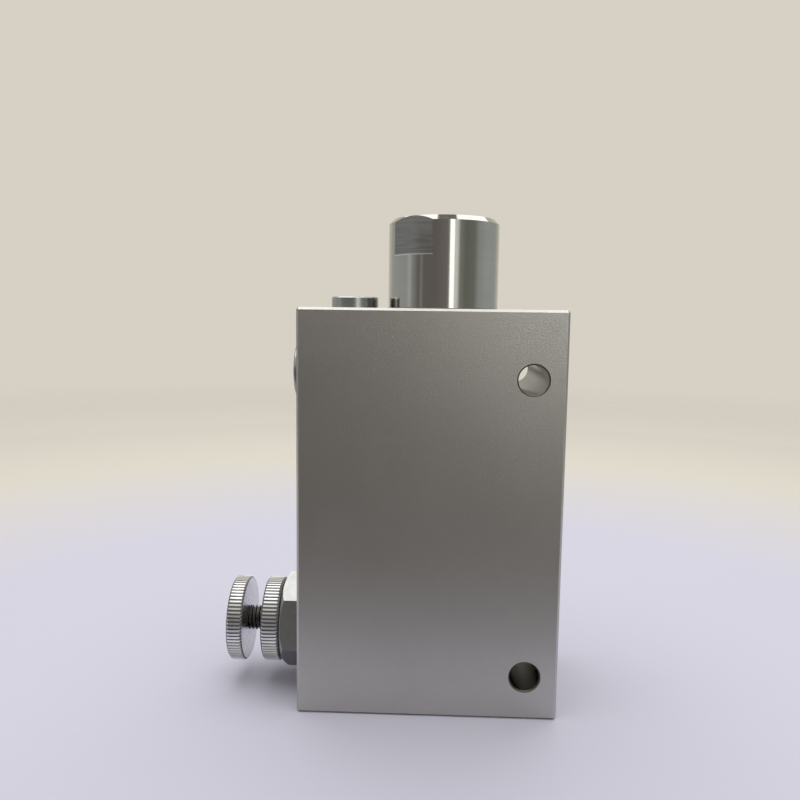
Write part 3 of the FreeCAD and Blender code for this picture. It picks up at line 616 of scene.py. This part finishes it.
def makeKnurlTree():     # a ring of flat-topped teeth: seven stations of its profile, swept round the disc
    tree, given = newShapeTree(
        "addKnurl", ("Crest Radius", "Root Radius", "Face Radius", "Inner Radius", "Low", "High", "Chamfer",
                     "Tap Radius"), ("Place", "Turn", "Tap Place", "Tap Turn"), Teeth="Int", Tapped="Bool")
    pointsPerTooth = 5.0
    stations = 7
    crestHalf = 0.2      # shares of a tooth's step, from the middle of its crest
    rootFrom = 0.4
    columns = math2(tree, "MULTIPLY_ADD", given["Teeth"], pointsPerTooth, 1.0)
    strip, girth, turned = unitStrip(tree, stations, columns)
    station = math2(tree, "MULTIPLY", girth, stations - 1.0)
    step = math2(tree, "MULTIPLY_ADD", turned, given["Teeth"], 0.5 - rootFrom)

    def near(middle, reach):
        off = math2(tree, "ABSOLUTE", math2(tree, "SUBTRACT", station, middle))
        return math2(tree, "LESS_THAN", off, reach)

    fromCrest = math2(tree, "ABSOLUTE", math2(tree, "SUBTRACT", math2(tree, "FRACT", step), 0.5))
    tooth = mapRange(tree, fromCrest, crestHalf, rootFrom, given["Crest Radius"], given["Root Radius"])
    face = math2(tree, "SUBTRACT", given["Face Radius"], given["Inner Radius"])
    rim = math2(tree, "SUBTRACT", given["Crest Radius"], given["Face Radius"])
    outline = math2(tree, "MULTIPLY_ADD", face, near(2.5, 2.0), given["Inner Radius"])
    outline = math2(tree, "MULTIPLY_ADD", rim, near(2.5, 1.0), outline)
    radius = math2(tree, "MINIMUM", outline, tooth)
    length = math2(tree, "SUBTRACT", given["High"], given["Low"])
    level = math2(tree, "MULTIPLY_ADD", length, near(4.0, 1.5), given["Low"])
    inward = math2(tree, "SUBTRACT", near(2.0, 0.5), near(3.0, 0.5))
    level = math2(tree, "MULTIPLY_ADD", given["Chamfer"], inward, level)

    angle = math2(tree, "MULTIPLY", math2(tree, "DIVIDE", step, given["Teeth"]), -2 * math.pi)
    ring = sweepStrip(tree, strip, given, radius, angle, level)
    joined = add(tree, "GeometryNodeMeshBoolean", {"Mesh 2": given["Geometry"]},
                 operation="UNION", solver="EXACT")
    tree.links.new(ring, joined.inputs["Mesh 2"])
    drillDepth = math2(tree, "MULTIPLY", given["Tap Radius"], 2.0)
    drill = add(tree, "GeometryNodeMeshCylinder", {
        "Vertices": 48, "Radius": given["Tap Radius"], "Depth": drillDepth})
    aimed = add(tree, "GeometryNodeTransform", {
        "Geometry": drill.outputs["Mesh"], "Translation": given["Tap Place"], "Rotation": given["Tap Turn"]})
    drilled = cutAway(tree, joined.outputs[0], aimed.outputs[0])
    chosen = add(tree, "GeometryNodeSwitch", {
        "Switch": given["Tapped"], "False": joined.outputs[0], "True": drilled}, input_type="GEOMETRY")
    finishShape(tree, chosen.outputs[0], given)
    return tree


addKnurl = makeKnurlTree()


def plainCopy(nodeName, name):
    mesh = nodes[nodeName].data.copy()
    mesh.name = name
    if "custom_normal" in mesh.attributes:
        mesh.attributes.remove(mesh.attributes["custom_normal"])
    solid = bmesh.new()
    solid.from_mesh(mesh)
    bmesh.ops.remove_doubles(solid, verts=solid.verts, dist=sameSpot)
    solid.to_mesh(mesh)
    solid.free()
    thing = bpy.data.objects.new(name, mesh)
    scene.collection.objects.link(thing)
    return thing


def bake(thing, sharpDegrees):
    settled = bpy.data.meshes.new_from_object(thing.evaluated_get(bpy.context.evaluated_depsgraph_get()))
    thing.modifiers.clear()
    old = thing.data
    settled.name = thing.name
    thing.data = settled
    bpy.data.meshes.remove(old)
    solid = bmesh.new()
    solid.from_mesh(settled)
    bmesh.ops.dissolve_degenerate(solid, dist=shortEdge, edges=solid.edges)
    openEdges = sum(len(edge.link_faces) != 2 for edge in solid.edges)
    solid.to_mesh(settled)
    solid.free()
    settled.polygons.foreach_set("use_smooth", [True] * len(settled.polygons))
    settled.set_sharp_from_angle(angle=math.radians(sharpDegrees))
    print("stage: baked", thing.name, "edges without two faces:", openEdges)


def runTree(thing, tree, inputs):
    modifier = thing.modifiers.new(tree.name, "NODES")
    modifier.node_group = tree
    for item in tree.interface.items_tree:
        if item.in_out == "INPUT" and item.name in inputs:
            modifier[item.identifier] = inputs[item.name]


def threadOn(thing, finish, values):
    pitch = values["pitch"]
    depth = abs(values["root"] - values["mouth"])
    turns = (values["high"] - values["low"]) / pitch
    rootWidth = values["rootFlat"] * pitch
    flankSlope = math.tan(math.radians(values["flank"]))
    inputs = {
        "Root Radius": values["root"] * mm, "Mouth Radius": values["mouth"] * mm,
        "Root Width": rootWidth * mm, "Mouth Width": (rootWidth + 2 * depth * flankSlope) * mm,
        "Pitch": pitch * mm, "Low": values["low"] * mm, "Turns": turns, "Run Out": values["runOut"],
        "Steps": round(turns * values["stepsPerTurn"]), "Place": [v * mm for v in values["place"]],
        "Turn": values["turn"], "Finish": finish}
    runTree(thing, cutThread, inputs)


def knurlOn(thing, finish, values):
    lengths = {label: values[key] * mm for label, key in (
        ("Crest Radius", "crest"), ("Root Radius", "root"), ("Face Radius", "face"),
        ("Inner Radius", "inner"), ("Low", "low"), ("High", "high"), ("Chamfer", "chamfer"),
        ("Tap Radius", "tapRadius"))}
    inputs = {
        **lengths, "Teeth": values["teeth"], "Place": (0, 0, knobAxisZ * mm), "Turn": alongX,
        "Tap Place": [v * mm for v in values["tapPlace"]], "Tap Turn": alongY, "Tapped": values["tapped"],
        "Finish": finish}
    runTree(thing, addKnurl, inputs)


metricThread = {"rootFlat": 0.22, "flank": 30.0, "runOut": 0.6, "stepsPerTurn": 40}
pipeThread = {"rootFlat": 0.18, "flank": 27.5, "runOut": 0.6, "stepsPerTurn": 56}
mainPortThread = {**pipeThread, "root": 10.42, "mouth": 9.46, "pitch": 1.814, "low": 26.5, "high": 39.6,
                  "turn": alongX}

threadsOfNode = {        # lengths in mm, from the axis or along it
    "adjusting_screw": [
        {**metricThread, "root": 3.3, "mouth": 4.03, "pitch": 1.25, "low": -65.5, "high": -39.6,
         "place": (0, 0, knobAxisZ), "turn": alongX}],
    "valve_block": [
        {**mainPortThread, "place": (0, 0, inletZ)},
        {**mainPortThread, "place": (0, 0, bypassZ)},
        {**pipeThread, "root": 8.28, "mouth": 7.59, "pitch": 1.337, "low": 14.0, "high": 24.6,
         "place": (regulatedX, 0, knobAxisZ), "turn": alongY}],
    "compensator_cap": [
        {**metricThread, "root": 12.6, "mouth": 13.53, "pitch": 1.5, "low": 111.4, "high": 122.4,
         "place": (capAxisX, 0, 0), "turn": upZ, "stepsPerTurn": 56}],
    "top_plug": [
        {**pipeThread, "root": 4.3, "mouth": 4.89, "pitch": 0.907, "low": 116.2, "high": 123.3,
         "place": (topPlugX, 0, 0), "turn": upZ}],
    "side_plug": [
        {**pipeThread, "root": 5.74, "mouth": 6.6, "pitch": 1.337, "low": -38.3, "high": -31.2,
         "place": (0, 0, sidePlugZ), "turn": alongX}],
    "cartridge_body": [
        {**metricThread, "root": 10.1, "mouth": 11.03, "pitch": 1.5, "low": -37.5, "high": -29.4,
         "place": (0, 0, knobAxisZ), "turn": alongX, "stepsPerTurn": 56}],
}

knurl = {"teeth": 72, "crest": 13.8, "root": 13.3, "face": 13.2, "inner": 12.5, "chamfer": 0.6,
         "tapRadius": 1.47, "tapPlace": (-62.525, 13.5, knobAxisZ)}
workedSharpAt = 32.0     # degrees between faces, above which an edge stays sharp
knurlOfNode = {
    "adjusting_knob": {**knurl, "low": -65.03, "high": -60.02, "tapped": True},
    "lock_ring": {**knurl, "low": -53.83, "high": -48.27, "tapped": False},
}

bodyOfNode = {name: body for body, names in frame["record"]["behaviour"]["bodies"].items() for name in names}
for nodeName in [*threadsOfNode, *knurlOfNode]:
    finish = finishes[finishOfNode[nodeName]]
    worked = plainCopy(nodeName, nodeName + ("_threaded" if nodeName in threadsOfNode else "_knurled"))
    before = len(worked.data.polygons)
    for threadValues in threadsOfNode.get(nodeName, ()):
        threadOn(worked, finish, threadValues)
    if nodeName in knurlOfNode:
        knurlOn(worked, finish, knurlOfNode[nodeName])
    bake(worked, workedSharpAt)
    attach(worked, bodyOfNode[nodeName])
    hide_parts(nodeName)
    print("stage: worked", nodeName, before, "faces before,", len(worked.data.polygons), "after")

springValues = {"foot": 79.6, "top": 133.9, "sharpAt": 40.0}     # mm, just past the spring's two ends
spring = plainCopy("compensator_spring", "compensator_spring_coil")
spring.data.materials.clear()
spring.data.materials.append(finishes[finishOfNode["compensator_spring"]])
bake(spring, springValues["sharpAt"])
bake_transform(spring)
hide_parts("compensator_spring")


# Floor, lamps and the cards that the metal mirrors

stageValues = {          # lengths in metres from the object's foot
    "floorRadius": 1.2,
    "fadeFrom": 0.36,
    "paperRough": 0.7,
    "paperShine": 0.3,
    "floorTone": (209, 208, 224),
    "farTone": (222, 217, 206),
    "nearTo": 0.2,
    "farFrom": 0.4,
    "backTone": (214, 208, 197),
    "worldTone": (186, 184, 180),
}


def plainMesh(name, corners, faces):
    mesh = bpy.data.meshes.new(name)
    mesh.from_pydata(corners, [], faces)
    mesh.update()
    thing = bpy.data.objects.new(name, mesh)
    scene.collection.objects.link(thing)
    return thing


def makeFloor(values):     # the paper fades into the backdrop's colour towards its rim
    reach = values["floorRadius"]
    corners = [(-reach, -reach, 0), (reach, -reach, 0), (reach, reach, 0), (-reach, reach, 0)]
    floor = plainMesh("floor", corners, [(0, 1, 2, 3)])
    material = bpy.data.materials.new("floor_paper")
    material.use_nodes = True
    tree = material.node_tree
    shader = tree.nodes["Principled BSDF"]
    shader.inputs["Roughness"].default_value = values["paperRough"]
    shader.inputs["Specular IOR Level"].default_value = values["paperShine"]
    place = add(tree, "ShaderNodeTexCoord").outputs["Object"]
    far = add(tree, "ShaderNodeVectorMath", {0: place}, operation="LENGTH").outputs["Value"]
    warmth = mapRange(tree, far, values["nearTo"], values["farFrom"], 0.0, 1.0)
    tone = mixColours(tree, warmth, colour(values, "floorTone"), colour(values, "farTone"))
    tree.links.new(tone, shader.inputs["Base Color"])
    fade = add(tree, "ShaderNodeMapRange", {
        "Value": far, "From Min": values["fadeFrom"], "From Max": reach, "To Min": 1.0, "To Max": 0.0},
        interpolation_type="SMOOTHSTEP")
    tree.links.new(fade.outputs[0], shader.inputs["Alpha"])
    floor.data.materials.append(material)


def makeWorld(values):     # what the eye and the metal see behind, and the light that falls on the rest
    world = bpy.data.worlds.new("studio")
    world.use_nodes = True
    tree = world.node_tree
    ray = add(tree, "ShaderNodeLightPath").outputs
    seen = math2(tree, "MAXIMUM", ray["Is Camera Ray"], ray["Is Glossy Ray"])
    seen = math2(tree, "MAXIMUM", seen, ray["Is Transmission Ray"])
    tone = mixColours(tree, seen, colour(values, "worldTone"), colour(values, "backTone"))
    background = tree.nodes["Background"]
    tree.links.new(tone, background.inputs["Color"])
    background.inputs["Strength"].default_value = 1.0
    scene.world = world


surroundValues = {       # the room that only the metal mirrors, lengths in metres
    "distance": 0.62,
    "height": 0.3,
    "innerReach": 0.05,
    "steps": 72,
    "floorGap": 0.002,
    "paintedShadowTone": (0.19, 0.18, 0.172),
    "paintedShadowFrom": 0.044,       # where the painted shadow on the ground begins, in front of the object
    "paintedShadowTo": 0.13,
    "wallFrom": 0.03,
    "wallTo": 0.12,
    "wall": {                  # degrees from the camera's side to the right, and the glow there
        "behind": (-180, (0.5, 0.49, 0.45)),
        "paleBehindLeft": (-150, (0.66, 0.62, 0.53)),
        "greyBehindLeft": (-128, (0.5, 0.52, 0.5)),
        "left": (-84, (0.46, 0.48, 0.48)),
        "paleLeft": (-74, (0.6, 0.61, 0.6)),
        "shadedLeft": (-66, (0.36, 0.37, 0.36)),
        "darkLeft": (-52, (0.2, 0.19, 0.185)),
        "greyStripe": (-46, (0.34, 0.33, 0.32)),
        "stripeEnd": (-42, (0.2, 0.185, 0.175)),
        "darkFront": (-20, (0.2, 0.18, 0.17)),
        "greyFront": (6, (0.24, 0.22, 0.21)),
        "lampFoot": (11, (0.34, 0.33, 0.3)),
        "lampStart": (12, (2.6, 2.6, 2.45)),
        "lampEnd": (20, (2.4, 2.4, 2.3)),
        "betweenLamps": (22, (0.6, 0.6, 0.56)),
        "smallLamp": (24, (1.1, 1.1, 1.05)),
        "smallLampEnd": (29, (0.8, 0.8, 0.78)),
        "shadedRight": (32, (0.3, 0.31, 0.27)),
        "darkRight": (46, (0.21, 0.22, 0.19)),
        "greyRight": (62, (0.24, 0.245, 0.22)),
        "right": (78, (0.44, 0.46, 0.45)),
        "paleRight": (96, (0.5, 0.53, 0.52)),
        "greyBehindRight": (128, (0.48, 0.5, 0.5)),
        "paleBehindRight": (150, (0.66, 0.62, 0.53)),
        "behindAgain": (180, (0.5, 0.49, 0.45)),
    },
}


def makeSurround(values):     # a round wall, and a ground with a painted shadow in front of the object
    low = values["wall"]["behind"][0]
    high = values["wall"]["behindAgain"][0]
    span = high - low
    profile = ((values["distance"], values["height"]), (values["distance"], values["floorGap"]),
               (values["innerReach"], values["floorGap"]))
    corners = []
    for step in range(values["steps"] + 1):
        turn = math.radians(low + span * step / values["steps"])
        corners += [(math.sin(turn) * reach, -math.cos(turn) * reach, height) for reach, height in profile]
    faces = []
    for step in range(values["steps"]):
        first = 3 * step
        faces.append((first, first + 3, first + 4, first + 1))
        faces.append((first + 1, first + 4, first + 5, first + 2))
    wall = plainMesh("surround", corners, faces)
    material, tree, out = bareMaterial("surround_felt")
    place = add(tree, "ShaderNodeTexCoord").outputs["Object"]
    parts = add(tree, "ShaderNodeSeparateXYZ", {0: place})
    angle = math2(tree, "ARCTAN2", parts.outputs[0], math2(tree, "MULTIPLY", parts.outputs[1], -1.0))
    share = mapRange(tree, angle, math.radians(low), math.radians(high), 0.0, 1.0)
    ramp = add(tree, "ShaderNodeValToRGB", {0: share})
    ramp.color_ramp.interpolation = "EASE"
    stops = ramp.color_ramp.elements
    while len(stops) < len(values["wall"]):
        stops.new(0.5)
    for stop, (azimuth, tone) in zip(stops, values["wall"].values()):
        stop.position = (azimuth - low) / span
        stop.color = (*tone, 1.0)
    height = parts.outputs[2]
    onWall = mapRange(tree, height, values["wallFrom"], values["wallTo"], 0.0, 1.0)
    tone = mixColours(tree, onWall, (*values["paintedShadowTone"], 1.0), ramp.outputs[0])
    glow = add(tree, "ShaderNodeEmission", {"Color": tone})
    clear = tree.nodes.new("ShaderNodeBsdfTransparent")
    inFront = math2(tree, "MULTIPLY", parts.outputs[1], -1.0)
    # painted shadow: a dark ground in front of the object, seen only in the metal
    paintedShadow = mapRange(tree, inFront, values["paintedShadowFrom"], values["paintedShadowTo"], 0.0, 1.0)
    solid = math2(tree, "MAXIMUM", paintedShadow, math2(tree, "GREATER_THAN", height, values["floorGap"] * 1.5))
    mixed = add(tree, "ShaderNodeMixShader", {0: solid, 1: clear.outputs[0], 2: glow.outputs[0]})
    tree.links.new(mixed.outputs[0], out.inputs["Surface"])
    wall.data.materials.append(material)
    onlyMirrored(wall)


def onlyMirrored(card):
    card.visible_camera = False
    card.visible_diffuse = False
    card.visible_shadow = False


cardValues = {           # corners in metres: a dark gap in the ceiling's light, and a window on the right
    "overhead": {"tone": (0.2, 0.2, 0.19, 1.0), "corners": (
        (-0.08, 0.04, 0.88), (0.16, 0.04, 0.88), (0.16, 0.26, 0.88), (-0.08, 0.26, 0.88))},
    "window": {"tone": (1.85, 1.82, 1.68, 1.0), "corners": (
        (0.1, -0.59, 0.31), (0.42, -0.42, 0.31), (0.42, -0.42, 0.5), (0.1, -0.59, 0.5))},
}


def makeCard(name, values):
    card = plainMesh(name, values["corners"], [(0, 1, 2, 3)])
    material, tree, out = bareMaterial(name + "_card")
    glow = add(tree, "ShaderNodeEmission", {"Color": values["tone"]})
    tree.links.new(glow.outputs[0], out.inputs["Surface"])
    card.data.materials.append(material)
    onlyMirrored(card)


lampValues = {           # places, aims and sizes in metres, power in watts
    "topLamp": {"place": (0.0, 0.12, 0.95), "aim": (0.0, 0.0, 0.0), "size": (1.3, 1.3), "power": 8.5},
}


def makeLamps(values):
    for name, lamp in values.items():
        data = bpy.data.lights.new(name, "AREA")
        data.shape = "RECTANGLE"
        data.size, data.size_y = lamp["size"]
        data.energy = lamp["power"]
        thing = bpy.data.objects.new(name, data)
        scene.collection.objects.link(thing)
        thing.location = lamp["place"]
        aim = Vector(lamp["aim"]) - Vector(lamp["place"])
        thing.rotation_mode = "QUATERNION"
        thing.rotation_quaternion = aim.to_track_quat("-Z", "Y")
        thing.visible_camera = False


makeFloor(stageValues)
makeWorld(stageValues)
makeSurround(surroundValues)
for cardName, cardLook in cardValues.items():
    makeCard(cardName, cardLook)
makeLamps(lampValues)
scene.view_settings.view_transform = "Standard"
print("stage: floor, lamps and cards")
